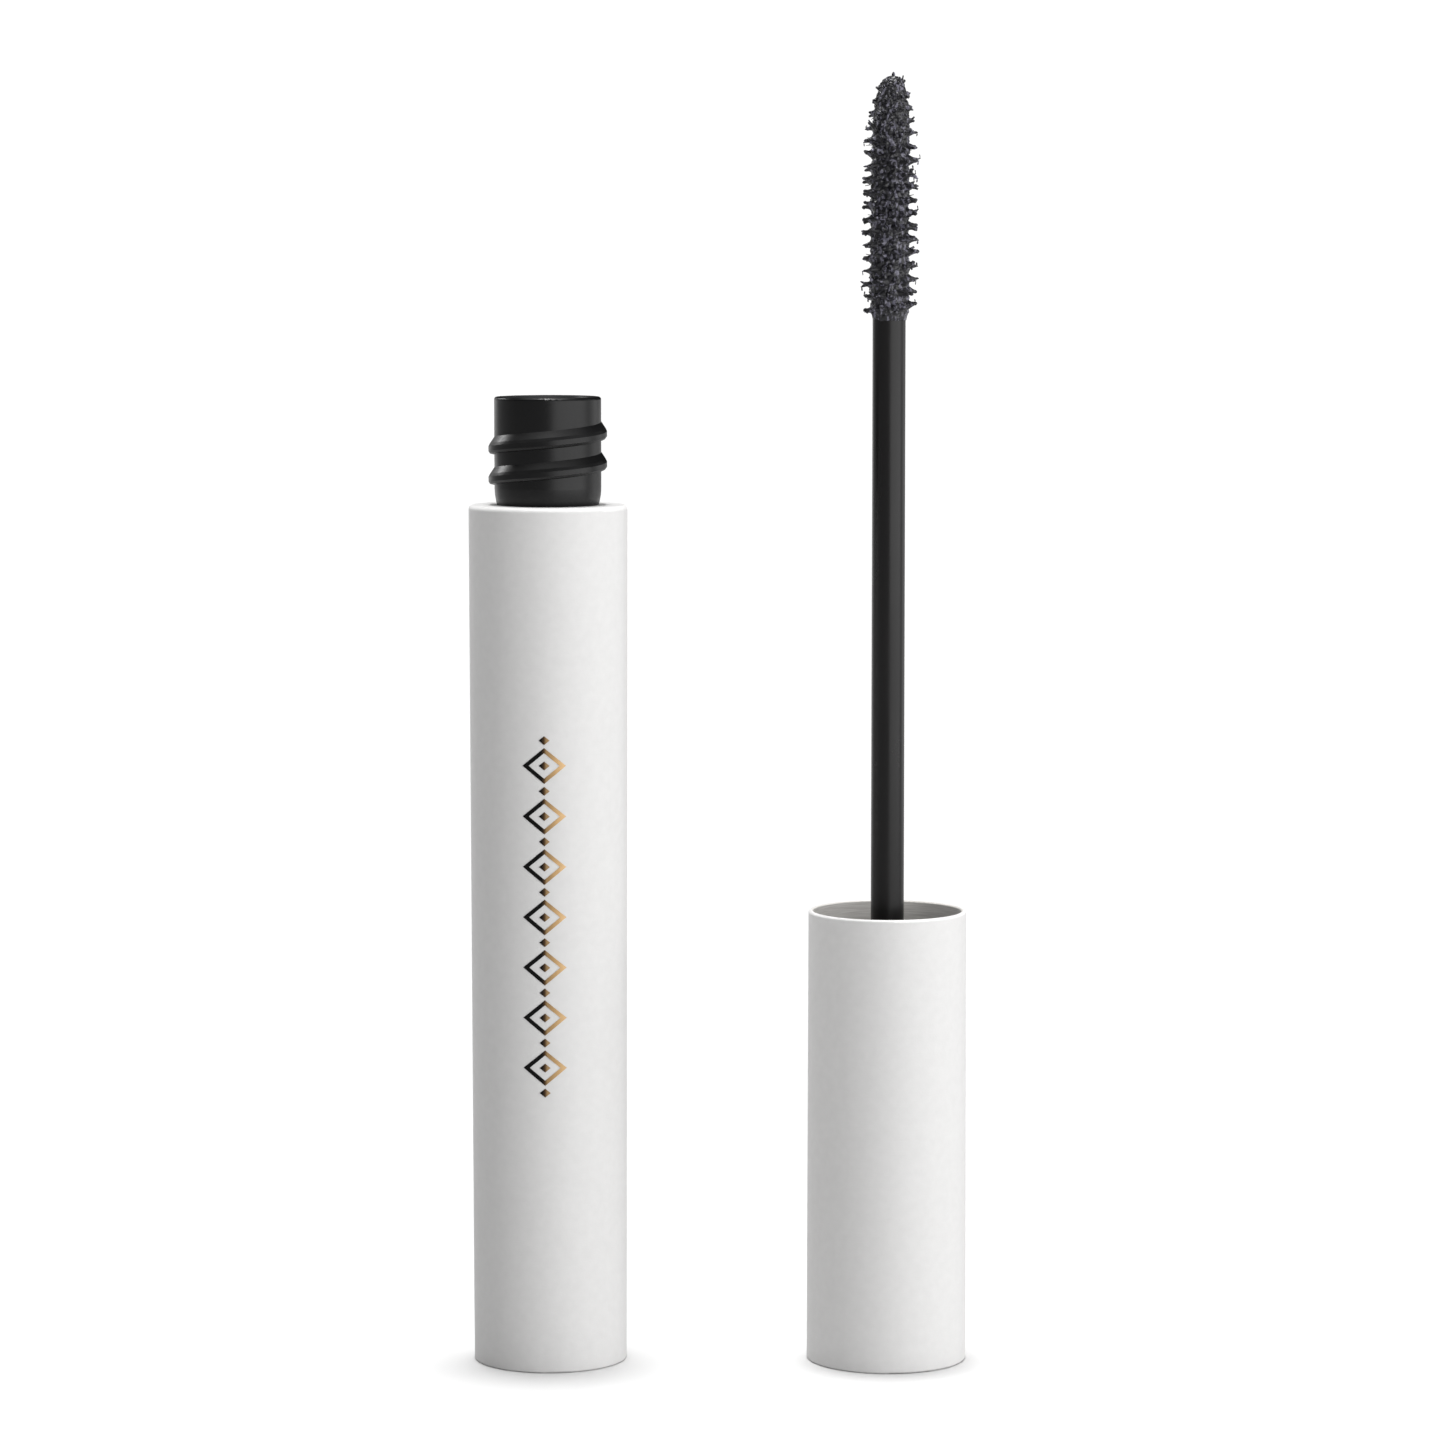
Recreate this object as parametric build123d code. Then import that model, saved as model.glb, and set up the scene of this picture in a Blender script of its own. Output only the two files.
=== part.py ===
"""A mascara tube with its applicator out and stood on its closed end beside it.

The tube's axis is Z, with the surface it stands on at z = 0. The applicator is the cap with
the stem and brush that it carries. It stands upside down, mouth and brush upwards, on an
axis parallel to the tube's. All sizes are in millimetres.
"""

import os

from build123d import *

# Driving dimensions
SHELL_DIAMETER = 16.2
SHELL_WALL = 0.5
FOOT_DIAMETER = 15.75
CAP_END_DIAMETER = 16.45
TUBE_HEIGHT = 88.4
CAP_HEIGHT = 46.7
NECK_DIAMETER = 10.9
NECK_FOOT_DIAMETER = 10.4
NECK_HEIGHT = 11.0
THREAD_DIAMETER = 12.1
THREAD_PITCH = 3.1
STEM_ROOT_DIAMETER = 3.4
STEM_TIP_DIAMETER = 3.36
STEM_TOP = 107.5
BRUSH_TOP = 132.4
BRUSH_DIAMETER = 6.0
APPLICATOR_X = 34.75

# Shells, shared by the tube and the cap
SHELL_R = SHELL_DIAMETER / 2
SHELL_BORE_R = SHELL_R - SHELL_WALL
FOOT_R = FOOT_DIAMETER / 2
FOOT_BORE_R = FOOT_R - SHELL_WALL
CAP_END_R = CAP_END_DIAMETER / 2
SHELL_CORNER = 0.45
FOOT_CORNER = 0.2
SLIP = 0.03

# Base plug and its label
PLUG_RECESS = 0.15
PLUG_FLOOR = 0.7
PLUG_RING_TOP = 6.0
LABEL_R = 6.2
LABEL_THICKNESS = 0.1

# Bottle: body, neck and thread
BOTTLE_BOTTOM = PLUG_RECESS + PLUG_FLOOR
BOTTLE_R = 6.6
BOTTLE_WALL = 1.1
BOTTLE_BORE_R = BOTTLE_R - BOTTLE_WALL
BOTTLE_FLOOR = BOTTLE_BOTTOM + 0.9
BOTTLE_TOP = TUBE_HEIGHT - SHELL_WALL
FLANGE_THICKNESS = 1.5
NECK_R = NECK_DIAMETER / 2
NECK_FOOT_R = NECK_FOOT_DIAMETER / 2
NECK_FOOT_HEIGHT = 1.0
NECK_FOOT_ROUNDING = 6.0
NECK_RIM_ROUNDING = 0.28
NECK_BORE_R = NECK_R - BOTTLE_WALL
NECK_TOP = TUBE_HEIGHT + NECK_HEIGHT
WIPER_SEAT_R = 4.9
WIPER_SEAT_DEPTH = 0.45
NECK_CONE = (TUBE_HEIGHT - 3.9, TUBE_HEIGHT - 1.4)
FILL_LEVEL = 78.0

# Thread ridge: a single start, right handed
RIDGE_CREST_R = THREAD_DIAMETER / 2
RIDGE_FOOT_HEIGHT = 1.8
RIDGE_LOWER_FLANK = 0.18
RIDGE_CREST_HEIGHT = 0.8
RIDGE_ROOT_DEPTH = 0.4
RIDGE_ROUNDING = 0.15
RIDGE_START_Z = 2.6
RIDGE_START_ANGLE = 145.0
RIDGE_TURNS = 1.75

# Wiper: the soft ring that strips the brush
WIPER_R = NECK_BORE_R - 0.02
WIPER_BORE_R = 3.7
WIPER_SKIN = 0.45
WIPER_LIP_R = 1.75
WIPER_LIP_Z = TUBE_HEIGHT + 1.1
WIPER_CONE_TOP = TUBE_HEIGHT + 6.1
WIPER_BOTTOM = TUBE_HEIGHT - 2.1

# Cap liner, gasket and weight
LINER_RECESS = 2.5
LINER_MOUTH = CAP_HEIGHT - LINER_RECESS
LINER_R = SHELL_BORE_R - SLIP
LINER_WALL_R = 7.0
LINER_SKIRT_BORE_R = 6.2
LINER_BORE_R = RIDGE_CREST_R + 0.1
LINER_RIDGE_R = NECK_R + 0.1
GASKET_THICKNESS = 0.95
LINER_FLOOR = CAP_HEIGHT - NECK_HEIGHT - GASKET_THICKNESS - 0.05
LINER_FLOOR_THICKNESS = 1.2
LINER_RIBS = 24
LINER_RIB_WIDTH = 0.5
LINER_COLLAR = 0.8
LINER_WEB_THICKNESS = 0.8
CAP_END_THICKNESS = 0.6
WEIGHT_HEIGHT = 8.0
WEIGHT_BOTTOM = CAP_END_THICKNESS + 0.1
WEIGHT_R = SHELL_BORE_R - 0.1
LINER_BOTTOM = WEIGHT_BOTTOM + WEIGHT_HEIGHT + 0.1
BOSS_R = 3.2
BOSS_BOTTOM = 26.8

# Stem, wire and brush
STEM_HEAD_R = 2.6
STEM_HEAD_HEIGHT = 0.8
STEM_ROOT_R = STEM_ROOT_DIAMETER / 2
STEM_TIP_R = STEM_TIP_DIAMETER / 2
WIRE_BORE_R = 0.65
WIRE_GRIP = 9.0
WIRE_TOP = BRUSH_TOP - 0.6
STRAND_R = 0.25
STRAND_OFFSET = 0.27
STRAND_LAY = 2.4

# Foil trim on the front of the tube
TRIM_BOTTOM = 29.0
TRIM_TOP = 65.0
TRIM_WIDTH = 4.4
TRIM_STROKE = 0.4
TRIM_THICKNESS = 0.03
TRIM_UNITS = 7
TRIM_GAP = 1.5
TRIM_BEAD = 0.55
TRIM_CENTRE_X = -0.2

TINY = 1e-4


def turned(*corners):
    """A solid of revolution about Z through these (radius, height) corners."""
    outline = Polyline(*[(r, 0, z) for r, z in corners], close=True)
    return revolve(make_face(outline), Axis.Z)


def ring(outer, inner, low, high):
    """A washer or tube about Z."""
    return turned((inner, low), (outer, low), (outer, high), (inner, high))


def rod(radius, low, high):
    """A plain cylinder about Z."""
    return turned((0, low), (radius, low), (radius, high), (0, high))


def tube_radius(height):
    """The tapered tube's outer radius at this height."""
    return FOOT_R + (SHELL_R - FOOT_R) * height / TUBE_HEIGHT


def rim(part, radius, height):
    """The circular edges of part that have this radius and height."""
    return [
        edge
        for edge in part.edges().filter_by(GeomType.CIRCLE)
        if abs(edge.radius - radius) < TINY and abs(edge.arc_center.Z - height) < TINY
    ]


def helical_ridge(outline, turns, start_angle, start_z):
    """Sweeps a closed (radius, height) outline up a right-handed helix of the thread's pitch."""
    path = Helix(THREAD_PITCH, THREAD_PITCH * turns, NECK_R)
    face = make_face(Polyline(*[(r, 0, z) for r, z in outline], close=True))
    ridge = sweep(face, path=path, is_frenet=True)
    return Pos(0, 0, start_z) * Rot(0, 0, start_angle) * ridge


def fade_cutter(angle, height):
    """A block outside the plane that touches the neck at this angle: it ramps a ridge's end away."""
    reach = 2.0
    span = 9.0
    block = Pos(NECK_R + reach / 2, 0, height) * Box(reach, span, RIDGE_FOOT_HEIGHT + 0.9)
    return Rot(0, 0, angle) * block


def neck_thread():
    """The bottle's outer thread: a steep lower flank, a blunt crest and a long upper slope."""
    low = -RIDGE_FOOT_HEIGHT / 2
    crest_low = low + RIDGE_LOWER_FLANK
    crest_high = crest_low + RIDGE_CREST_HEIGHT
    high = RIDGE_FOOT_HEIGHT / 2
    bevel = RIDGE_ROUNDING
    root = NECK_R - RIDGE_ROOT_DEPTH
    outline = [
        (root, low),
        (NECK_R, low),
        (RIDGE_CREST_R - bevel, crest_low - bevel / 2),
        (RIDGE_CREST_R, crest_low + bevel),
        (RIDGE_CREST_R, crest_high - bevel),
        (RIDGE_CREST_R - bevel, crest_high + bevel),
        (NECK_R, high),
        (root, high),
    ]
    ridge = helical_ridge(outline, RIDGE_TURNS, RIDGE_START_ANGLE, TUBE_HEIGHT + RIDGE_START_Z)
    end_angle = RIDGE_START_ANGLE + 360 * RIDGE_TURNS
    end_z = RIDGE_START_Z + THREAD_PITCH * RIDGE_TURNS
    for angle, height in ((RIDGE_START_ANGLE, RIDGE_START_Z), (end_angle, end_z)):
        ridge -= fade_cutter(angle, TUBE_HEIGHT + height)
    return ridge


def liner_thread():
    """The cap liner's inner thread, as it stands in the upturned cap."""
    root = LINER_BORE_R + RIDGE_ROOT_DEPTH
    half_root = 0.7
    half_crest = 0.2
    outline = [
        (root, -half_root),
        (LINER_RIDGE_R, -half_crest),
        (LINER_RIDGE_R, half_crest),
        (root, half_root),
    ]
    turns = 1.5
    lowest = LINER_MOUTH - 1.0 - THREAD_PITCH * turns
    return helical_ridge(outline, turns, 0, lowest)


def tube_sleeve():
    """The tube's white outer shell, a little slimmer at its open foot, with a flat shoulder."""
    shell = turned((0, 0), (FOOT_R, 0), (SHELL_R, TUBE_HEIGHT), (0, TUBE_HEIGHT))
    shell = fillet(rim(shell, SHELL_R, TUBE_HEIGHT), SHELL_CORNER)
    shell = fillet(rim(shell, FOOT_R, 0), FOOT_CORNER)
    shell -= turned((0, 0), (FOOT_BORE_R, 0), (SHELL_BORE_R, BOTTLE_TOP), (0, BOTTLE_TOP))
    shell -= rod(NECK_FOOT_R + SLIP, BOTTLE_TOP - 1, TUBE_HEIGHT + 1)
    return fillet(rim(shell, FOOT_BORE_R, 0), FOOT_CORNER / 2)


def inner_bottle():
    """The black bottle that holds the mascara: body, locating flange and threaded neck."""
    flange_r = SHELL_BORE_R - SLIP
    flange_z = BOTTLE_TOP - FLANGE_THICKNESS
    cone_low, cone_high = NECK_CONE
    solid = turned(
        (0, BOTTLE_BOTTOM),
        (BOTTLE_R, BOTTLE_BOTTOM),
        (BOTTLE_R, flange_z - (flange_r - BOTTLE_R)),
        (flange_r, flange_z),
        (flange_r, BOTTLE_TOP),
        (NECK_FOOT_R, BOTTLE_TOP),
        (NECK_FOOT_R, TUBE_HEIGHT),
        (NECK_R, TUBE_HEIGHT + NECK_FOOT_HEIGHT),
        (NECK_R, NECK_TOP),
        (0, NECK_TOP),
    )
    solid = fillet(rim(solid, BOTTLE_R, BOTTLE_BOTTOM), 0.8)
    solid = fillet(rim(solid, NECK_R, TUBE_HEIGHT + NECK_FOOT_HEIGHT), NECK_FOOT_ROUNDING)
    solid = fillet(rim(solid, NECK_R, NECK_TOP), NECK_RIM_ROUNDING)
    cavity = turned(
        (0, BOTTLE_FLOOR),
        (BOTTLE_BORE_R, BOTTLE_FLOOR),
        (BOTTLE_BORE_R, cone_low),
        (NECK_BORE_R, cone_high),
        (NECK_BORE_R, NECK_TOP + 1),
        (0, NECK_TOP + 1),
    )
    cavity = fillet(rim(cavity, BOTTLE_BORE_R, BOTTLE_FLOOR), 0.6)
    seat = rod(WIPER_SEAT_R, NECK_TOP - WIPER_SEAT_DEPTH, NECK_TOP + 1)
    return solid + neck_thread() - cavity - seat


def wiper():
    """The soft insert in the neck: flange, barrel, snap bead and the lip that strips the stem."""
    top = NECK_TOP - 0.05
    seat = NECK_TOP - WIPER_SEAT_DEPTH
    barrel_bore_r = WIPER_R - WIPER_SKIN
    bead = 0.16
    return turned(
        (WIPER_LIP_R, WIPER_LIP_Z),
        (WIPER_LIP_R + WIPER_SKIN, WIPER_LIP_Z),
        (barrel_bore_r, WIPER_CONE_TOP - 1.6),
        (barrel_bore_r, WIPER_BOTTOM),
        (WIPER_R, WIPER_BOTTOM),
        (WIPER_R + bead, WIPER_BOTTOM + 0.3),
        (WIPER_R, WIPER_BOTTOM + 0.7),
        (WIPER_R, seat),
        (WIPER_SEAT_R - SLIP, seat),
        (WIPER_SEAT_R - SLIP, top),
        (WIPER_BORE_R + 0.4, top),
        (WIPER_BORE_R, top - 0.7),
        (WIPER_BORE_R, WIPER_CONE_TOP),
        (WIPER_LIP_R, WIPER_LIP_Z + 0.5),
    )


def base_plug():
    """The disc and ring that close the sleeve's foot and centre the bottle."""
    wall_r = FOOT_BORE_R - SLIP
    lead_in = 0.3
    plug = turned(
        (0, PLUG_RECESS),
        (wall_r, PLUG_RECESS),
        (wall_r, PLUG_RING_TOP - lead_in),
        (wall_r - lead_in, PLUG_RING_TOP),
        (BOTTLE_R + SLIP, PLUG_RING_TOP),
        (BOTTLE_R + SLIP, BOTTLE_BOTTOM),
        (0, BOTTLE_BOTTOM),
    )
    return chamfer(rim(plug, wall_r, PLUG_RECESS), 0.15)


def base_label():
    """The round paper label under the base plug."""
    return rod(LABEL_R, PLUG_RECESS - LABEL_THICKNESS, PLUG_RECESS)


def mascara_fill():
    """The paste in the bottle, with the channel that the brush leaves when it is drawn out."""
    wall_r = BOTTLE_BORE_R - 0.02
    channel_r = BRUSH_DIAMETER / 2 + 0.3
    channel_floor = BOTTLE_FLOOR + 0.6
    bottom = BOTTLE_FLOOR + 0.02
    paste = turned(
        (0, bottom),
        (wall_r, bottom),
        (wall_r, FILL_LEVEL + 1.4),
        (wall_r - 0.5, FILL_LEVEL + 0.5),
        (wall_r - 1.1, FILL_LEVEL + 0.1),
        (channel_r, FILL_LEVEL),
        (channel_r, channel_floor),
        (0, channel_floor),
    )
    paste = fillet(rim(paste, wall_r, bottom), 0.65)
    return fillet(rim(paste, channel_r, FILL_LEVEL), 0.5)


def foil_trim():
    """A column of open lozenges with small solid ones in and between them, in thin foil."""
    pitch = (TRIM_TOP - TRIM_BOTTOM) / TRIM_UNITS
    half_width = TRIM_WIDTH / 2
    half_height = (pitch - TRIM_GAP) / 2
    slant = (half_width**2 + half_height**2) ** 0.5 / half_height
    inner_width = half_width - TRIM_STROKE * slant

    def lozenge(width):
        height = width * half_height / half_width
        return make_face(Polyline((-width, 0), (0, -height), (width, 0), (0, height), close=True))

    frame = lozenge(half_width) - lozenge(inner_width)
    shapes = []
    for i in range(TRIM_UNITS):
        middle = TRIM_BOTTOM + pitch * (i + 0.5)
        shapes.append(Pos(TRIM_CENTRE_X, middle) * frame)
        shapes.append(Pos(TRIM_CENTRE_X, middle) * lozenge(TRIM_BEAD))
    for i in range(TRIM_UNITS + 1):
        shapes.append(Pos(TRIM_CENTRE_X, TRIM_BOTTOM + pitch * i) * lozenge(TRIM_BEAD))
    low, high = TRIM_BOTTOM - 1, TRIM_TOP + 1
    low_r, high_r = tube_radius(low), tube_radius(high)
    skin = turned(
        (low_r, low),
        (low_r + TRIM_THICKNESS, low),
        (high_r + TRIM_THICKNESS, high),
        (high_r, high),
    )
    front = Plane.XZ.offset(SHELL_R / 2)
    pieces = []
    for shape in shapes:
        stamp = extrude(front * shape, amount=SHELL_R)
        pieces += (skin & stamp).solids()
    return Compound(pieces)


def cap_sleeve():
    """The cap's white outer shell: it widens a little from its thin rim to its closed end."""
    shell = turned((0, 0), (CAP_END_R, 0), (SHELL_R, CAP_HEIGHT), (0, CAP_HEIGHT))
    shell = fillet(rim(shell, CAP_END_R, 0), FOOT_CORNER)
    shell -= turned(
        (0, CAP_END_THICKNESS),
        (CAP_END_R - SHELL_WALL, CAP_END_THICKNESS),
        (SHELL_BORE_R, CAP_HEIGHT),
        (SHELL_BORE_R, CAP_HEIGHT + 1),
        (0, CAP_HEIGHT + 1),
    )
    shell = fillet(rim(shell, SHELL_R, CAP_HEIGHT), SHELL_WALL * 0.5)
    return fillet(rim(shell, SHELL_BORE_R, CAP_HEIGHT), SHELL_WALL * 0.3)


def cap_liner():
    """The black inner cap: threaded socket, floor, stem boss on webs, and a ribbed skirt."""
    floor_bottom = LINER_FLOOR - LINER_FLOOR_THICKNESS
    body = ring(LINER_WALL_R, LINER_SKIRT_BORE_R, LINER_BOTTOM, floor_bottom)
    body += ring(LINER_WALL_R, LINER_BORE_R, LINER_FLOOR, LINER_MOUTH)
    body += rod(LINER_WALL_R, floor_bottom, LINER_FLOOR)
    body += ring(LINER_R, LINER_WALL_R - 0.2, LINER_MOUTH - LINER_COLLAR, LINER_MOUTH)
    body += rod(BOSS_R, BOSS_BOTTOM, floor_bottom)
    web_height = floor_bottom - BOSS_BOTTOM - 1.0
    for turn in (0, 90):
        web = Box(2 * LINER_SKIRT_BORE_R + 0.4, LINER_WEB_THICKNESS, web_height)
        body += Pos(0, 0, floor_bottom - web_height / 2) * Rot(0, 0, turn) * web
    rib_length = LINER_MOUTH - LINER_COLLAR - LINER_BOTTOM - 2.0
    rib_depth = LINER_R - LINER_WALL_R + 0.2
    rib = Box(rib_depth, LINER_RIB_WIDTH, rib_length)
    rib_z = LINER_BOTTOM + 2.0 + rib_length / 2
    for i in range(LINER_RIBS):
        body += Rot(0, 0, 360 * i / LINER_RIBS) * Pos(LINER_R - rib_depth / 2, 0, rib_z) * rib
    body &= rod(LINER_R, LINER_BOTTOM, LINER_MOUTH)
    mouth_bevel = 0.35
    body -= turned(
        (0, LINER_MOUTH),
        (LINER_BORE_R, LINER_MOUTH - mouth_bevel),
        (LINER_BORE_R + mouth_bevel, LINER_MOUTH),
    )
    body += liner_thread()
    body -= rod(STEM_ROOT_R + SLIP, BOSS_BOTTOM - 1, LINER_FLOOR + 1)
    return body


def sealing_gasket():
    """The soft washer at the bottom of the threaded socket, which seals on the neck's rim."""
    low = LINER_FLOOR + 0.04
    washer = ring(LINER_RIDGE_R - 0.05, STEM_ROOT_R + 0.15, low, low + GASKET_THICKNESS)
    return fillet(washer.edges().filter_by(GeomType.CIRCLE), 0.15)


def cap_weight():
    """The round steel weight in the cap's closed end."""
    slug = rod(WEIGHT_R, WEIGHT_BOTTOM, WEIGHT_BOTTOM + WEIGHT_HEIGHT)
    return chamfer(slug.edges().filter_by(GeomType.CIRCLE), 0.4)


def wand_stem():
    """The tapered stem, headed where it bears on the liner's boss and bored for the wire."""
    head_top = BOSS_BOTTOM - SLIP
    stem = turned(
        (0, head_top - STEM_HEAD_HEIGHT),
        (STEM_HEAD_R, head_top - STEM_HEAD_HEIGHT),
        (STEM_HEAD_R, head_top),
        (STEM_ROOT_R, head_top),
        (STEM_ROOT_R, CAP_HEIGHT),
        (STEM_TIP_R, STEM_TOP),
        (0, STEM_TOP),
    )
    stem = fillet(rim(stem, STEM_TIP_R, STEM_TOP), 0.2)
    return stem - rod(WIRE_BORE_R, STEM_TOP - WIRE_GRIP, STEM_TOP + 1)


def brush_wire():
    """The brush's core: two strands of wire twisted round each other."""
    low = STEM_TOP - WIRE_GRIP + 0.3
    high = WIRE_TOP - STRAND_R
    path = Helix(STRAND_LAY, high - low, STRAND_OFFSET)
    section = Plane(origin=path @ 0, z_dir=path % 0) * Circle(STRAND_R)
    strand = Pos(0, 0, low) * sweep(section, path=path, is_frenet=True)
    return Compound([*strand.solids(), *(Rot(0, 0, 180) * strand).solids()])


def brush_bristles():
    """The space that the bristles fill: a slim barrel that narrows to a blunt tip."""
    low = STEM_TOP + 0.05
    full = BRUSH_DIAMETER / 2
    return turned(
        (WIRE_BORE_R, low),
        (full - 1.0, low),
        (full - 0.2, low + 1.6),
        (full, low + 5.0),
        (full, low + 14.0),
        (full - 0.3, low + 17.4),
        (full - 0.8, low + 19.6),
        (full - 1.3, low + 22.3),
        (full - 1.9, low + 23.7),
        (full - 2.3, BRUSH_TOP),
        (0, BRUSH_TOP),
        (0, WIRE_TOP + 0.1),
        (WIRE_BORE_R, WIRE_TOP + 0.1),
    )


TUBE_PIECES = {
    "tube_sleeve": tube_sleeve,
    "inner_bottle": inner_bottle,
    "wiper": wiper,
    "base_plug": base_plug,
    "base_label": base_label,
    "mascara_fill": mascara_fill,
    "foil_trim": foil_trim,
}
APPLICATOR_PIECES = {
    "cap_sleeve": cap_sleeve,
    "cap_liner": cap_liner,
    "sealing_gasket": sealing_gasket,
    "cap_weight": cap_weight,
    "wand_stem": wand_stem,
    "brush_wire": brush_wire,
    "brush_bristles": brush_bristles,
}

os.makedirs("parts", exist_ok=True)
for name, make in TUBE_PIECES.items():
    export_step(make(), f"parts/{name}.step")
for name, make in APPLICATOR_PIECES.items():
    export_step(Pos(APPLICATOR_X, 0, 0) * make(), f"parts/{name}.step")
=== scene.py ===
"""The looks of a mascara tube and its applicator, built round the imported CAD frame.

Lengths are in metres and places come from the frame. Names ending in _MM are in millimetres.
"""

import math

import bpy
import numpy as np
from mathutils import Euler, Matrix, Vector, noise


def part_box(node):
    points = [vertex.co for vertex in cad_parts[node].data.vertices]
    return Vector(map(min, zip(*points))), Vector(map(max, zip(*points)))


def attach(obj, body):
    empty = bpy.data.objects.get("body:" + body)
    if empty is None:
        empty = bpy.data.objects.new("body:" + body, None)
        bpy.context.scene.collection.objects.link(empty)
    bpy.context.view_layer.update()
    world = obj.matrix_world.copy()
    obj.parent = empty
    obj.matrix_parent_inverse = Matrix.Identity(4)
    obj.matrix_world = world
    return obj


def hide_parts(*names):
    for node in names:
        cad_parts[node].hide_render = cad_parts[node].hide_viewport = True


MM = 0.001
IMAGE_SIZE = 1445

# Camera: in front of the pair, a little above the neck, looking slightly down
CAMERA_DISTANCE = 0.516
CAMERA_HEIGHT = 0.1162
CAMERA_RIGHT_OF_MIDDLE = 0.00043
CAMERA_PITCH = math.radians(5.55)
FOCAL_LENGTH_PX = 5060
SENSOR_WIDTH = 36.0

# Softboxes: name, azimuth in degrees (0 in front, 90 on the right), distance, height, width,
# upright size, power in watts
PANELS = [
    ("key", 51, 0.42, 0.14, 0.75, 0.34, 2.06),
    ("edge", 120, 0.40, 0.12, 0.20, 0.24, 0.13),
    ("rim", 212, 0.40, 0.12, 0.12, 0.24, 0.07),
    ("kicker", 232, 0.45, 0.33, 0.09, 0.09, 0.50),
    ("top", 0, 0.09, 0.42, 0.90, 0.26, 0.36),
]

FLOOR_HALF_SIZE = 12.0
CAP_BORE_RADIUS_MM = 7.78
MIX_FACTOR, MIX_FIRST, MIX_SECOND, MIX_RESULT = 0, 6, 7, 2  # a Mix node's colour sockets

# Brush: heights are above the stem's end
BRUSH_SEED = 7
RIDGE_PITCH_MM = 1.32
TUFTS_PER_TURN = 13
LOWEST_TUFT_MM = 0.25
TUFT_POINTS = 9
FORK_POINTS = 8
HOOK_POINTS = 4
FORKED_SHARE = 0.16
HOOKED_SHARE = 0.18
FIBRE_COUNT = 90
FIBRE_POINTS = 6
CORE_ROWS = 440
CORE_SIDES = 156
NUB_RINGS = 10
NUB_SIDES = 16
WIRE_OFFSET_MM = 0.04
TIP_LEAN_MM = 0.26
CORE_PROFILE_MM = [
    (-0.35, 1.70),
    (0.10, 1.78),
    (0.55, 1.87),
    (1.50, 1.92),
    (9.00, 1.90),
    (17.5, 1.87),
    (20.0, 1.80),
    (22.0, 1.60),
    (23.2, 1.32),
    (23.9, 0.95),
    (24.25, 0.50),
    (24.36, 0.02),
]
REACH_PROFILE_MM = [
    (0.0, 2.10),
    (0.8, 2.80),
    (2.0, 2.97),
    (16.0, 3.02),
    (18.0, 2.88),
    (19.5, 2.62),
    (21.5, 2.22),
    (23.2, 1.72),
    (24.0, 1.25),
]
CORE_FOOT_MM = CORE_PROFILE_MM[0][0]
CORE_TOP_MM = CORE_PROFILE_MM[-1][0]
REACH_TOP_MM = REACH_PROFILE_MM[-1][0]


# ---------------------------------------------------------------- materials


def shader_of(material):
    return material.node_tree.nodes["Principled BSDF"]


def new_material(name, color, roughness, metallic=0.0, specular=0.5):
    """A Principled material with constant values on the shader's own sockets."""
    material = bpy.data.materials.new(name)
    material.use_nodes = True
    shader = shader_of(material)
    shader.inputs["Base Color"].default_value = (*color, 1.0)
    shader.inputs["Roughness"].default_value = roughness
    shader.inputs["Metallic"].default_value = metallic
    shader.inputs["Specular IOR Level"].default_value = specular
    return material


def noise_texture(material, per_mm, detail=3.0, stretch=(1, 1, 1)):
    """A noise pattern fixed to the object, with about per_mm features in a millimetre."""
    nodes, links = material.node_tree.nodes, material.node_tree.links
    place = nodes.new("ShaderNodeTexCoord")
    mapping = nodes.new("ShaderNodeMapping")
    mapping.inputs["Scale"].default_value = stretch
    texture = nodes.new("ShaderNodeTexNoise")
    texture.inputs["Scale"].default_value = per_mm / MM
    texture.inputs["Detail"].default_value = detail
    links.new(place.outputs["Object"], mapping.inputs["Vector"])
    links.new(mapping.outputs["Vector"], texture.inputs["Vector"])
    return texture.outputs["Fac"]


def ramp(material, source, stops):
    """A colour ramp on source; stops are (position, colour) with colour a grey or an RGB."""
    nodes, links = material.node_tree.nodes, material.node_tree.links
    node = nodes.new("ShaderNodeValToRGB")
    elements = node.color_ramp.elements
    while len(elements) < len(stops):
        elements.new(0.5)
    for element, (position, color) in zip(elements, stops):
        element.position = position
        rgb = color if isinstance(color, tuple) else (color,) * 3
        element.color = (*rgb, 1.0)
    links.new(source, node.inputs["Fac"])
    return node.outputs["Color"]


def vary_color(material, source, dark, light):
    """Lets the base colour drift between two colours along source."""
    color = ramp(material, source, [(0.3, dark), (0.7, light)])
    material.node_tree.links.new(color, shader_of(material).inputs["Base Color"])


def vary_roughness(material, source, low_value, high_value):
    """Lets the roughness drift between two values along source."""
    value = ramp(material, source, [(0.3, low_value), (0.7, high_value)])
    material.node_tree.links.new(value, shader_of(material).inputs["Roughness"])


def add_bump(material, source, depth_mm):
    """Bump from source; a second call adds its bump on top of the first."""
    nodes, links = material.node_tree.nodes, material.node_tree.links
    bump = nodes.new("ShaderNodeBump")
    bump.inputs["Strength"].default_value = 1.0
    bump.inputs["Distance"].default_value = depth_mm * MM
    links.new(source, bump.inputs["Height"])
    normal = shader_of(material).inputs["Normal"]
    if normal.links:
        links.new(normal.links[0].from_socket, bump.inputs["Normal"])
    links.new(bump.outputs["Normal"], normal)


def vector_math(material, operation, first, second=None):
    """A Vector Math node on the socket first and, where given, the constant second."""
    node = material.node_tree.nodes.new("ShaderNodeVectorMath")
    node.operation = operation
    material.node_tree.links.new(first, node.inputs[0])
    if second is not None:
        node.inputs[1].default_value = second
    return node


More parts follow.
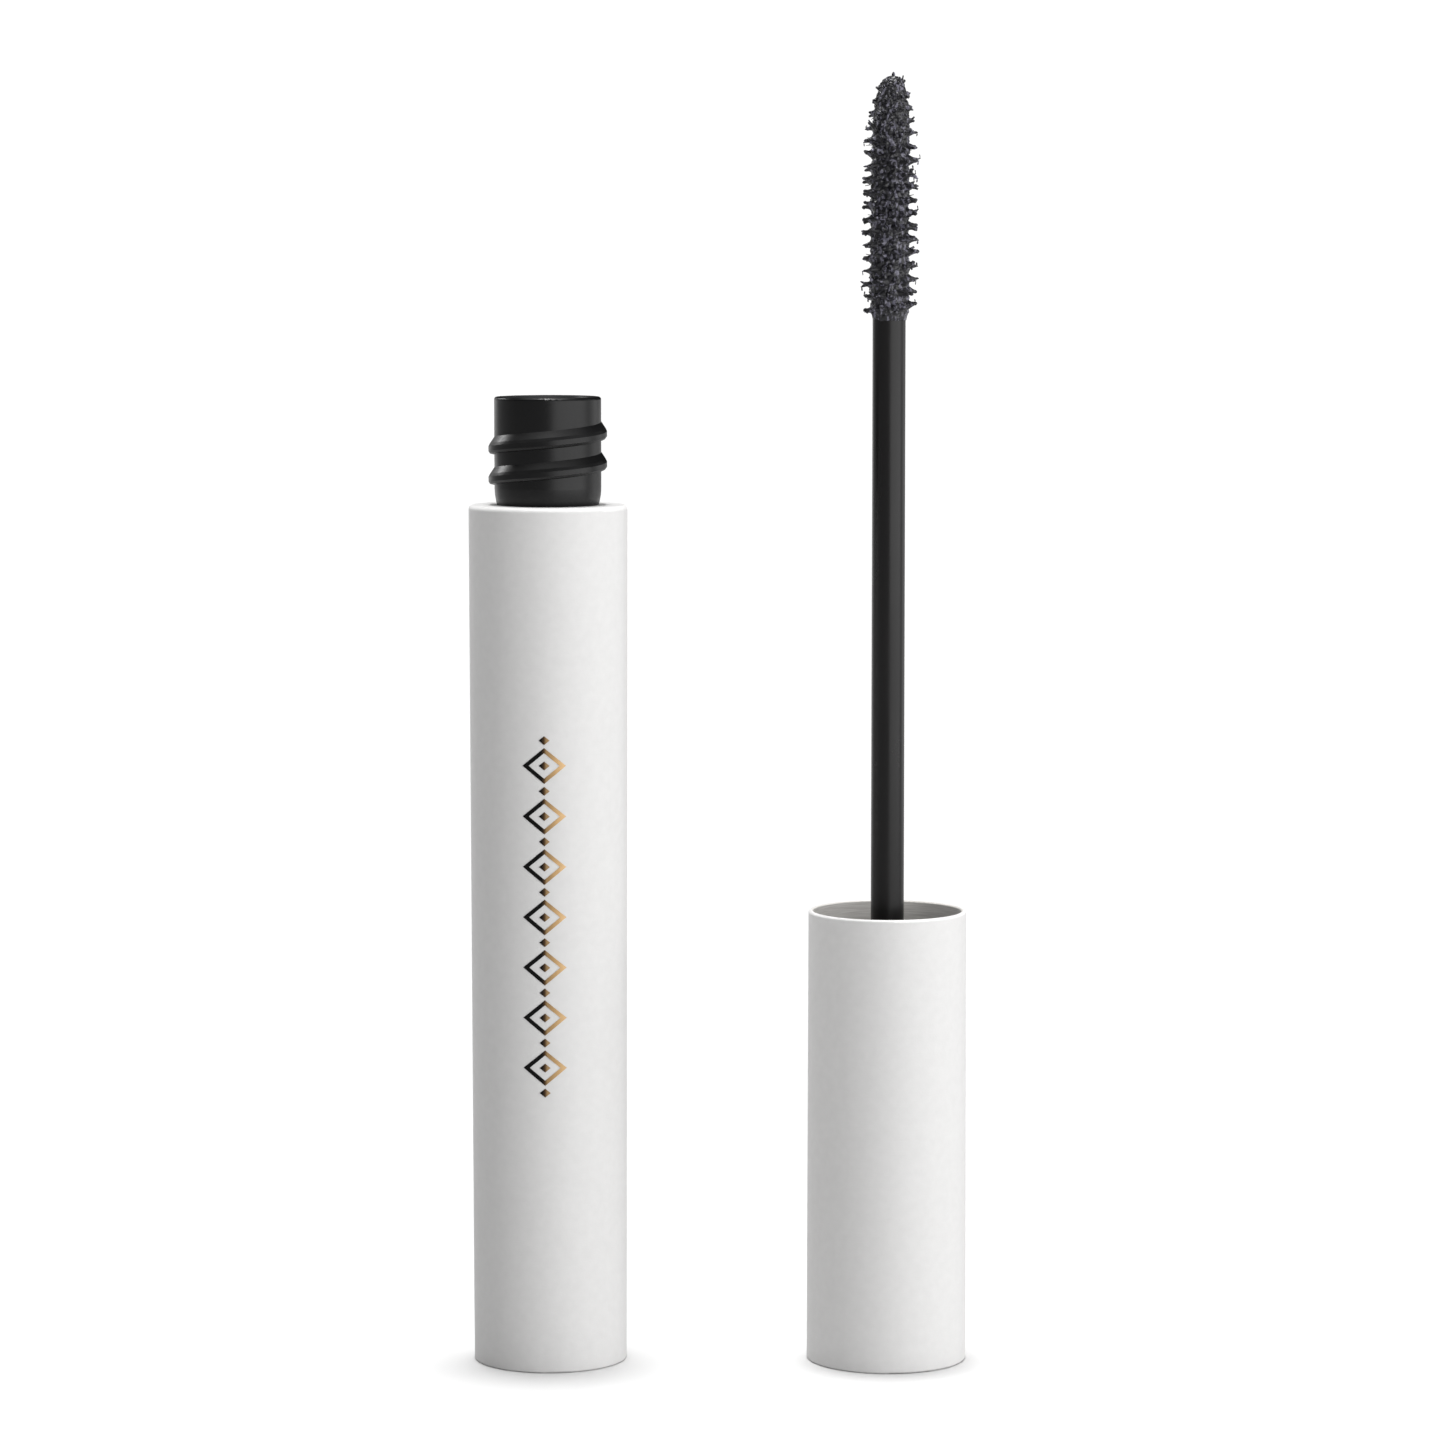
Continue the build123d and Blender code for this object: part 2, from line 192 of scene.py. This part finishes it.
def map_range(material, source, low, high, low_result=0.0, high_result=1.0):
    """Source stretched from low..high to low_result..high_result, and held there."""
    node = material.node_tree.nodes.new("ShaderNodeMapRange")
    node.inputs["From Min"].default_value = low
    node.inputs["From Max"].default_value = high
    node.inputs["To Min"].default_value = low_result
    node.inputs["To Max"].default_value = high_result
    material.node_tree.links.new(source, node.inputs["Value"])
    return node.outputs["Result"]


def split_axes(material, source):
    """The X, Y and Z sockets of a vector."""
    node = material.node_tree.nodes.new("ShaderNodeSeparateXYZ")
    material.node_tree.links.new(source, node.inputs["Vector"])
    return node.outputs


def soft_touch_white(name):
    """Matte white paint: grain, faint mottling and drawing marks, and a soft grazing bloom."""
    material = new_material(name, (0.80, 0.795, 0.79), 0.55, specular=0.35)
    mottle = noise_texture(material, 1.1, detail=4.0)
    vary_color(material, mottle, (0.785, 0.78, 0.775), (0.815, 0.81, 0.805))
    fine = noise_texture(material, 7.0, detail=2.0)
    vary_roughness(material, fine, 0.5, 0.62)
    drawn = noise_texture(material, 0.9, detail=2.0, stretch=(0.25, 0.25, 8))
    add_bump(material, fine, 0.006)
    add_bump(material, mottle, 0.006)
    add_bump(material, drawn, 0.004)
    shader = shader_of(material)
    shader.inputs["Sheen Weight"].default_value = 0.12
    shader.inputs["Sheen Roughness"].default_value = 0.4
    return material


def foot_centre(node):
    """The middle of the underside of a CAD node's box, in the node's own space."""
    corners = np.array([list(corner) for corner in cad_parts[node].bound_box])
    low, high = corners.min(axis=0), corners.max(axis=0)
    return ((low[0] + high[0]) / 2, (low[1] + high[1]) / 2, low[2])


def bare_inside(material, node, radius_mm):
    """Brushed aluminium within radius_mm of the node's own axis, above its closed end."""
    nodes, links = material.node_tree.nodes, material.node_tree.links
    place = nodes.new("ShaderNodeTexCoord").outputs["Object"]
    offset = vector_math(material, "SUBTRACT", place, foot_centre(node)).outputs["Vector"]
    level = vector_math(material, "MULTIPLY", offset, (1, 1, 0)).outputs["Vector"]
    away = vector_math(material, "LENGTH", level).outputs["Value"]
    inside = map_range(material, away, (radius_mm - 0.04) * MM, (radius_mm + 0.04) * MM, 1.0, 0.0)
    above = map_range(material, split_axes(material, offset)["Z"], 0.3 * MM, 0.4 * MM)
    bare = nodes.new("ShaderNodeMath")
    bare.operation = "MULTIPLY"
    links.new(inside, bare.inputs[0])
    links.new(above, bare.inputs[1])
    brushing = noise_texture(material, 1.2, detail=3.0, stretch=(0.3, 0.3, 9))
    metal = ramp(material, brushing, [(0.3, (0.64, 0.62, 0.59)), (0.7, (0.86, 0.84, 0.81))])
    mix = nodes.new("ShaderNodeMix")
    mix.data_type = "RGBA"
    base = shader_of(material).inputs["Base Color"]
    links.new(bare.outputs["Value"], mix.inputs[MIX_FACTOR])
    links.new(base.links[0].from_socket, mix.inputs[MIX_FIRST])
    links.new(metal, mix.inputs[MIX_SECOND])
    links.new(mix.outputs[MIX_RESULT], base)


def moulded_black(name, color, roughness, flow_per_mm=0.35):
    """Satin black plastic with faint moulding ripples and a little dust-fine grain."""
    material = new_material(name, color, roughness, specular=0.28)
    fine = noise_texture(material, 9.0, detail=2.0)
    flow = noise_texture(material, flow_per_mm, detail=3.0, stretch=(1, 1, 0.35))
    lighter = tuple(c * 1.35 for c in color)
    vary_color(material, flow, color, lighter)
    vary_roughness(material, flow, roughness - 0.04, roughness + 0.05)
    add_bump(material, fine, 0.0025)
    add_bump(material, flow, 0.01)
    return material


def painted_reflection_foil(low_x, high_x):
    """Foil that turns from black on its left to gold on its right, quickly near the middle: a
    painted reflection, dark on the shaded side and gold on the lit side.
    """
    material = new_material("painted_reflection_foil", (0.7, 0.48, 0.25), 0.4, metallic=0.75)
    place = material.node_tree.nodes.new("ShaderNodeTexCoord").outputs["Object"]
    along = map_range(material, split_axes(material, place)["X"], low_x, high_x)
    # painted reflection: these stops make the foil's left half black and its right half gold
    stops = [
        (0.0, 0.004),
        (0.44, 0.005),
        (0.50, (0.10, 0.055, 0.025)),
        (0.55, (0.44, 0.28, 0.13)),
        (0.78, (0.56, 0.36, 0.17)),
        (1.0, (0.66, 0.45, 0.24)),
    ]
    color = ramp(material, along, stops)
    material.node_tree.links.new(color, shader_of(material).inputs["Base Color"])
    crinkle = noise_texture(material, 3.0, detail=2.0)
    vary_roughness(material, crinkle, 0.34, 0.48)
    add_bump(material, crinkle, 0.002)
    return material


def wet_paste(name, color, gloss=0.3):
    """Mascara: nearly black, with small lumps, and painted highlights: small bright specks in the
    base colour that stand in for glints.
    """
    material = new_material(name, color, gloss)
    lumps = noise_texture(material, 1.9, detail=2.0)
    painted_glint_noise = noise_texture(material, 1.9, detail=1.2, stretch=(1.5, 1.5, 0.75))
    # painted highlights: this noise lifts the base colour to as much as ten times the paste's own,
    # in small specks
    painted_glint_levels = [(0.38, 0.45), (0.52, 1.0), (0.575, 2.2), (0.63, 10.0)]
    stops = [(at, tuple(c * times for c in color)) for at, times in painted_glint_levels]
    shaded = ramp(material, painted_glint_noise, stops)
    material.node_tree.links.new(shaded, shader_of(material).inputs["Base Color"])
    vary_roughness(material, lumps, gloss - 0.06, gloss + 0.2)
    add_bump(material, lumps, 0.09)
    add_bump(material, painted_glint_noise, 0.05)
    return material


def turned_steel():
    """Bare steel with fine turning marks."""
    material = new_material("turned_steel", (0.55, 0.55, 0.56), 0.32, metallic=1.0)
    marks = noise_texture(material, 1.0, detail=3.0, stretch=(0.5, 0.5, 12))
    vary_color(material, marks, (0.46, 0.46, 0.47), (0.6, 0.6, 0.61))
    vary_roughness(material, marks, 0.24, 0.42)
    add_bump(material, marks, 0.004)
    return material


def plain_grained(name, color, roughness, per_mm, depth_mm, spread=0.08):
    """A matte moulded or foamed surface: grain in colour, roughness and height."""
    material = new_material(name, color, roughness, specular=0.3)
    fine = noise_texture(material, per_mm, detail=4.0)
    darker = tuple(c * (1 - spread) for c in color)
    vary_color(material, fine, darker, color)
    vary_roughness(material, fine, roughness - 0.06, roughness + 0.06)
    add_bump(material, fine, depth_mm)
    return material


def dress(node, material):
    """Puts a material in every slot of a CAD node."""
    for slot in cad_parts[node].material_slots:
        slot.material = material


# ---------------------------------------------------------------- brush


def follow(profile, height):
    """Radius at a height of a (height, radius) profile, straight between its points."""
    heights, radii = zip(*profile)
    return float(np.interp(height, heights, radii))


def outward(angle):
    """The level direction at an angle round the brush."""
    return Vector((math.cos(angle), math.sin(angle), 0))


def placed(points, foot):
    """Points of a straight brush, in millimetres, leant to +X as the wire leans and set on foot."""
    result = []
    for point in points:
        lean = WIRE_OFFSET_MM + TIP_LEAN_MM * (max(point.z, 0.0) / CORE_TOP_MM) ** 5
        result.append(foot + Vector((point.x + lean, point.y, point.z)) * MM)
    return result


def mesh_object(name, vertices, faces, material):
    """A smooth-shaded mesh with one material, linked to the scene."""
    mesh = bpy.data.meshes.new(name)
    mesh.from_pydata(vertices, [], faces)
    mesh.update()
    mesh.polygons.foreach_set("use_smooth", [True] * len(mesh.polygons))
    piece = bpy.data.objects.new(name, mesh)
    bpy.context.collection.objects.link(piece)
    mesh.materials.append(material)
    return piece


def add_skin(faces, first, rows, sides):
    """Faces round a stack of rings of vertices that starts at first, with both ends closed."""
    for row in range(rows - 1):
        for k in range(sides):
            a = first + row * sides + k
            b = first + row * sides + (k + 1) % sides
            faces.append((a, b, b + sides, a + sides))
    last = first + (rows - 1) * sides
    faces.append(tuple(reversed(range(first, first + sides))))
    faces.append(tuple(range(last, last + sides)))


def add_tube(vertices, faces, line, widths, sides):
    """Adds a closed tapering tube along line; widths are (across, up) half-widths at each point."""
    first = len(vertices)
    count = len(line)
    for i, (point, (across, up)) in enumerate(zip(line, widths)):
        ahead = (line[min(i + 1, count - 1)] - line[max(i - 1, 0)]).normalized()
        side = ahead.cross(Vector((0, 0, 1)))
        side = side.normalized() if side.length > 1e-6 else Vector((1, 0, 0))
        rise = side.cross(ahead).normalized()
        for k in range(sides):
            turn = 2 * math.pi * k / sides
            vertices.append(point + side * (math.cos(turn) * across) + rise * (math.sin(turn) * up))
    add_skin(faces, first, count, sides)


def lump(point, per_mm, seed):
    """Smooth noise in -1..1 at a point in millimetres."""
    return noise.noise(Vector(point) * per_mm + Vector((seed * 17.3, seed * 5.1, -seed * 9.7)))


def grain(point, size, seed):
    """Rounded grains about size millimetres apart: 1 on a grain's top, 0 between grains."""
    cell = Vector(point) / size + Vector((seed * 3.7, seed * 11.3, seed * 7.9))
    nearest = noise.voronoi(cell)[0][0]
    return max(0.0, 1.0 - (1.5 * nearest) ** 2)


def ridge_wave(angle, height):
    """1 on the helical ridge that the tufts stand on, 0 midway between its turns."""
    phase = 2 * math.pi * (height / RIDGE_PITCH_MM) - angle
    return (0.5 + 0.5 * math.cos(phase)) ** 1.5


def core_point(angle, height):
    """A point of the paste's grainy surface, with a ragged edge at the brush's foot."""
    radius = follow(CORE_PROFILE_MM, height)
    above_foot = height - CORE_FOOT_MM
    fade = min(1.0, radius) * min(1.0, above_foot / 0.7)
    ragged = 0.3 * max(0.0, 1.0 - above_foot / 0.6)
    point = outward(angle) * radius + Vector((0, 0, height))
    swell = 0.07 * ridge_wave(angle, height) - 0.10
    swell += 0.10 * lump(point, 1.1, 1) + 0.07 * lump(point, 2.4, 2)
    swell += 0.17 * grain(point, 0.46, 5) + 0.06 * grain(point, 0.25, 6)
    lift = 0.05 * lump(point, 2.4, 4) * fade + ragged * lump(point, 1.6, 8)
    return outward(angle) * (radius + swell * fade) + Vector((0, 0, height + lift))


def paste_core(foot, material):
    """The paste-loaded middle of the brush: grainy, ridged and rounded at its tip."""
    angles = [2 * math.pi * step / CORE_SIDES for step in range(CORE_SIDES)]
    vertices, faces = [], []
    for row in range(CORE_ROWS):
        # rows crowd together towards the tip, where the surface turns over
        rise = math.sin(0.5 * math.pi * row / (CORE_ROWS - 1)) ** 0.9
        height = CORE_FOOT_MM + (CORE_TOP_MM - CORE_FOOT_MM) * rise
        vertices += [core_point(angle, height) for angle in angles]
    add_skin(faces, 0, CORE_ROWS, CORE_SIDES)
    return mesh_object("brush_paste", placed(vertices, foot), faces, material)


def tuft_line(draw, angle, height, start, end, droop, sway, points):
    """A curved line out from the core: it leaves straight and bends towards its tip."""
    line = []
    for i in range(points):
        t = i / (points - 1)
        radius = start + (end - start) * t
        bend = t * t
        turn = angle + sway * bend / max(radius, 0.5)
        wobble = 0.012 * draw.standard_normal() * t
        line.append(outward(turn) * radius + Vector((0, 0, height + droop * bend + wobble)))
    return line


def thorn_widths(foot, tip, blob):
    """Half-widths of a thorn: a broad foot, a thin shaft, a blob of paste and a blunt end."""
    widths = []
    for k in range(TUFT_POINTS):
        t = k / (TUFT_POINTS - 1)
        width = tip + (foot - tip) * (1 - t) ** 1.9
        width *= 1 + blob * math.exp(-(((t - 0.92) / 0.1) ** 2))
        width *= 0.5 if k == TUFT_POINTS - 1 else 1.0
        widths.append((width * 1.1, width))
    return widths


def add_tuft(vertices, faces, draw, angle, height):
    """One thorn of bristles stuck together by paste; some are forked, and some end in a hook."""
    core = follow(CORE_PROFILE_MM, height)
    reach = follow(REACH_PROFILE_MM, height)
    end = core + (reach - core) * draw.uniform(0.74, 1.02)
    droop = draw.normal(0.02, 0.19)
    sway = draw.normal(0, 0.16)
    short = min(1.0, (reach - core) / 0.9)
    foot = draw.uniform(0.50, 0.84) * (0.5 + 0.5 * short)
    tip = draw.uniform(0.08, 0.155) * (0.7 + 0.3 * short)
    line = tuft_line(draw, angle, height, core - 0.3, end, droop, sway, TUFT_POINTS)
    hook = [line[-1]]
    add_tube(vertices, faces, line, thorn_widths(foot, tip, draw.uniform(0, 0.8)), 10)
    if draw.random() < FORKED_SHARE:
        fork_end = core + (end - core) * draw.uniform(0.75, 1.02)
        fork_droop = droop + draw.choice([-1, 1]) * draw.uniform(0.2, 0.42)
        line = tuft_line(draw, angle, height, core - 0.2, fork_end, fork_droop, -sway, FORK_POINTS)
        hook = [line[-1]]
        shares = [1 - k / (FORK_POINTS - 1) for k in range(FORK_POINTS)]
        widths = [(tip + 0.6 * (foot - tip) * share**2.2,) * 2 for share in shares]
        add_tube(vertices, faces, line, widths, 8)
    if draw.random() < HOOKED_SHARE and short > 0.9:
        lean = draw.choice([-1, 1])
        for k in range(1, HOOK_POINTS):
            step = outward(angle) * (0.05 - 0.03 * k) + Vector((0, 0, lean * 0.07 * k))
            hook.append(hook[-1] + step)
        widths = [(tip * (1 - 0.18 * k),) * 2 for k in range(HOOK_POINTS)]
        add_tube(vertices, faces, hook, widths, 8)


def clumped_tufts(foot, material):
    """The thorns, one after another along the helical ridge."""
    draw = np.random.default_rng(BRUSH_SEED)
    vertices, faces = [], []
    for i in range(int(REACH_TOP_MM / RIDGE_PITCH_MM * TUFTS_PER_TURN)):
        turn = (i + draw.uniform(-0.3, 0.3)) / TUFTS_PER_TURN
        height = turn * RIDGE_PITCH_MM + draw.normal(0, 0.07)
        if LOWEST_TUFT_MM < height < REACH_TOP_MM:
            add_tuft(vertices, faces, draw, 2 * math.pi * turn, height)
    return mesh_object("brush_tufts", placed(vertices, foot), faces, material)


def single_bristles(foot, material):
    """Loose nylon fibres that stand out between the thorns."""
    draw = np.random.default_rng(BRUSH_SEED + 1)
    vertices, faces = [], []
    for _ in range(FIBRE_COUNT):
        height = draw.uniform(0.3, REACH_TOP_MM - 0.2)
        angle = 2 * math.pi * height / RIDGE_PITCH_MM + draw.normal(0, 1.0)
        core = follow(CORE_PROFILE_MM, height)
        reach = follow(REACH_PROFILE_MM, height)
        end = core + (reach - core) * draw.uniform(0.2, 0.85)
        droop = draw.normal(0, 0.2)
        sway = draw.normal(0, 0.2)
        line = tuft_line(draw, angle, height, core - 0.3, end, droop, sway, FIBRE_POINTS)
        thick = draw.uniform(0.03, 0.055)
        shares = [k / (FIBRE_POINTS - 1) for k in range(FIBRE_POINTS)]
        add_tube(vertices, faces, line, [(thick * (1.6 - 0.9 * t),) * 2 for t in shares], 6)
    return mesh_object("brush_fibres", placed(vertices, foot), faces, material)


def tip_nub(foot, material):
    """The bead of paste on the cut end of the twisted wire."""
    shares = [k / (NUB_RINGS - 1) for k in range(NUB_RINGS)]
    line = [Vector((0.05, 0, CORE_TOP_MM - 0.08 + 0.44 * t)) for t in shares]
    widths = [(0.04 + 0.14 * math.sin(math.pi * (0.25 + 0.72 * t)),) * 2 for t in shares]
    vertices, faces = [], []
    add_tube(vertices, faces, line, widths, NUB_SIDES)
    return mesh_object("brush_nub", placed(vertices, foot), faces, material)


# ---------------------------------------------------------------- stage


def add_camera(middle_x):
    data = bpy.data.cameras.new("camera")
    data.sensor_width = SENSOR_WIDTH
    data.lens = FOCAL_LENGTH_PX * SENSOR_WIDTH / IMAGE_SIZE
    data.clip_start = 0.01
    data.clip_end = 50.0
    camera = bpy.data.objects.new("camera", data)
    bpy.context.collection.objects.link(camera)
    camera.location = (middle_x + CAMERA_RIGHT_OF_MIDDLE, -CAMERA_DISTANCE, CAMERA_HEIGHT)
    camera.rotation_euler = Euler((math.pi / 2 - CAMERA_PITCH, 0, 0))
    bpy.context.scene.camera = camera


def add_floor(seen, bounce):
    """A plain pale floor that runs to the horizon; what it gives back to the object is dimmer."""
    size = FLOOR_HALF_SIZE
    corners = [(-size, -size, 0), (size, -size, 0), (size, size, 0), (-size, size, 0)]
    material = new_material("floor", (seen, seen, seen), 0.9, specular=0.0)
    rays = material.node_tree.nodes.new("ShaderNodeLightPath")
    color = ramp(material, rays.outputs["Is Camera Ray"], [(0.0, bounce), (1.0, seen)])
    material.node_tree.links.new(color, shader_of(material).inputs["Base Color"])
    floor = mesh_object("floor", corners, [(0, 1, 2, 3)], material)
    return floor


def add_world(seen, ambient):
    """White behind the object, and dim as a source of light."""
    world = bpy.data.worlds.new("studio")
    bpy.context.scene.world = world
    world.use_nodes = True
    nodes, links = world.node_tree.nodes, world.node_tree.links
    background = nodes["Background"]
    background.inputs["Color"].default_value = (1, 1, 1, 1)
    rays = nodes.new("ShaderNodeLightPath")
    level = nodes.new("ShaderNodeMapRange")
    level.inputs["To Min"].default_value = ambient
    level.inputs["To Max"].default_value = seen
    links.new(rays.outputs["Is Camera Ray"], level.inputs["Value"])
    links.new(level.outputs["Result"], background.inputs["Strength"])


def add_overhead(name, strength, spread, tilt, lean):
    """Light from nearly straight above: it whitens the floor and leaves a shadow at each foot."""
    data = bpy.data.lights.new(name, "SUN")
    data.energy = strength
    data.angle = math.radians(spread)
    light = bpy.data.objects.new(name, data)
    bpy.context.collection.objects.link(light)
    light.rotation_euler = Euler((math.radians(-tilt), math.radians(-lean), 0))


def add_panel(name, azimuth, distance, height, width, tall, power, target):
    """A softbox turned towards target, with its sizes as the list of panels gives them."""
    data = bpy.data.lights.new(name, "AREA")
    data.shape = "RECTANGLE"
    data.size = width
    data.size_y = tall
    data.energy = power
    light = bpy.data.objects.new(name, data)
    bpy.context.collection.objects.link(light)
    turn = math.radians(azimuth)
    x = target.x + math.sin(turn) * distance
    y = target.y - math.cos(turn) * distance
    light.location = (x, y, height)
    light.rotation_euler = (target - light.location).to_track_quat("-Z", "Y").to_euler()
    light.visible_camera = False
    return light


def keep_off(panels, floor):
    """The panels light the object only, so the floor stays evenly pale round its shadows."""
    unlit = bpy.data.collections.new("unlit_by_panels")
    unlit.objects.link(floor)
    unlit.collection_objects[0].light_linking.link_state = "EXCLUDE"
    for panel in panels:
        panel.light_linking.receiver_collection = unlit


# ---------------------------------------------------------------- scene

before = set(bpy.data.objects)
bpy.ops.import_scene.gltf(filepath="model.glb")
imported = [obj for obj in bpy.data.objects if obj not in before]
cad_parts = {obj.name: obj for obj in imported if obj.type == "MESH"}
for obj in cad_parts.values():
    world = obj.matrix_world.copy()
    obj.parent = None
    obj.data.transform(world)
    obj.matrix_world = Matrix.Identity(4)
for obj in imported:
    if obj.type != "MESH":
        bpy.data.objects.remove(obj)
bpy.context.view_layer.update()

tube_low, tube_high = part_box("tube_sleeve")
cap_low, cap_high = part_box("cap_sleeve")
stem_low, stem_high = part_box("wand_stem")
foil_low, foil_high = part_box("foil_trim")
tube_x = (tube_low.x + tube_high.x) / 2
cap_x = (cap_low.x + cap_high.x) / 2
middle_x = (tube_x + cap_x) / 2
middle = Vector((middle_x, 0, stem_high.z / 2))

add_camera(middle_x)
floor = add_floor(seen=0.985, bounce=0.63)
add_world(seen=1.05, ambient=0.015)
add_overhead("overhead", strength=2.20, spread=9, tilt=2.6, lean=0.5)
add_overhead("sky", strength=1.10, spread=60, tilt=2.0, lean=0.0)
keep_off([add_panel(*panel, middle) for panel in PANELS], floor)

scene = bpy.context.scene
scene.view_settings.view_transform = "Standard"
scene.view_settings.look = "None"

tube_white = soft_touch_white("tube_white")
cap_white = soft_touch_white("cap_white")
bare_inside(cap_white, "cap_sleeve", CAP_BORE_RADIUS_MM)
bottle_black = moulded_black("bottle_black", (0.0042, 0.0042, 0.0045), 0.33)
stem_black = moulded_black("stem_black", (0.0065, 0.006, 0.0063), 0.30, flow_per_mm=0.2)
liner_black = moulded_black("liner_black", (0.014, 0.014, 0.014), 0.45)
wiper_rubber = plain_grained("wiper_rubber", (0.02, 0.02, 0.021), 0.5, per_mm=4.0, depth_mm=0.01)
plug_white = plain_grained("plug_white", (0.72, 0.71, 0.70), 0.5, per_mm=5.0, depth_mm=0.006)
label_paper = plain_grained("label_paper", (0.78, 0.77, 0.74), 0.85, per_mm=6.0, depth_mm=0.02)
gasket_foam = plain_grained("gasket_foam", (0.7, 0.7, 0.68), 0.8, 5.0, 0.04, spread=0.2)
paste_fill = wet_paste("paste_fill", (0.006, 0.006, 0.0065))
paste = wet_paste("brush_paste_black", (0.0165, 0.0160, 0.0205))
thorn = wet_paste("brush_thorn_black", (0.0165, 0.0160, 0.0205), gloss=0.34)
steel = turned_steel()

dress("tube_sleeve", tube_white)
dress("cap_sleeve", cap_white)
dress("inner_bottle", bottle_black)
dress("wand_stem", stem_black)
dress("cap_liner", liner_black)
dress("wiper", wiper_rubber)
dress("base_plug", plug_white)
dress("base_label", label_paper)
dress("sealing_gasket", gasket_foam)
dress("mascara_fill", paste_fill)
dress("foil_trim", painted_reflection_foil(foil_low.x, foil_high.x))
dress("cap_weight", steel)
dress("brush_wire", steel)

brush_foot = Vector((cap_x, 0, stem_high.z))
brush = [
    paste_core(brush_foot, paste),
    clumped_tufts(brush_foot, thorn),
    single_bristles(brush_foot, thorn),
    tip_nub(brush_foot, thorn),
]
for piece in brush:
    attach(piece, "applicator")
    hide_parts("brush_bristles")
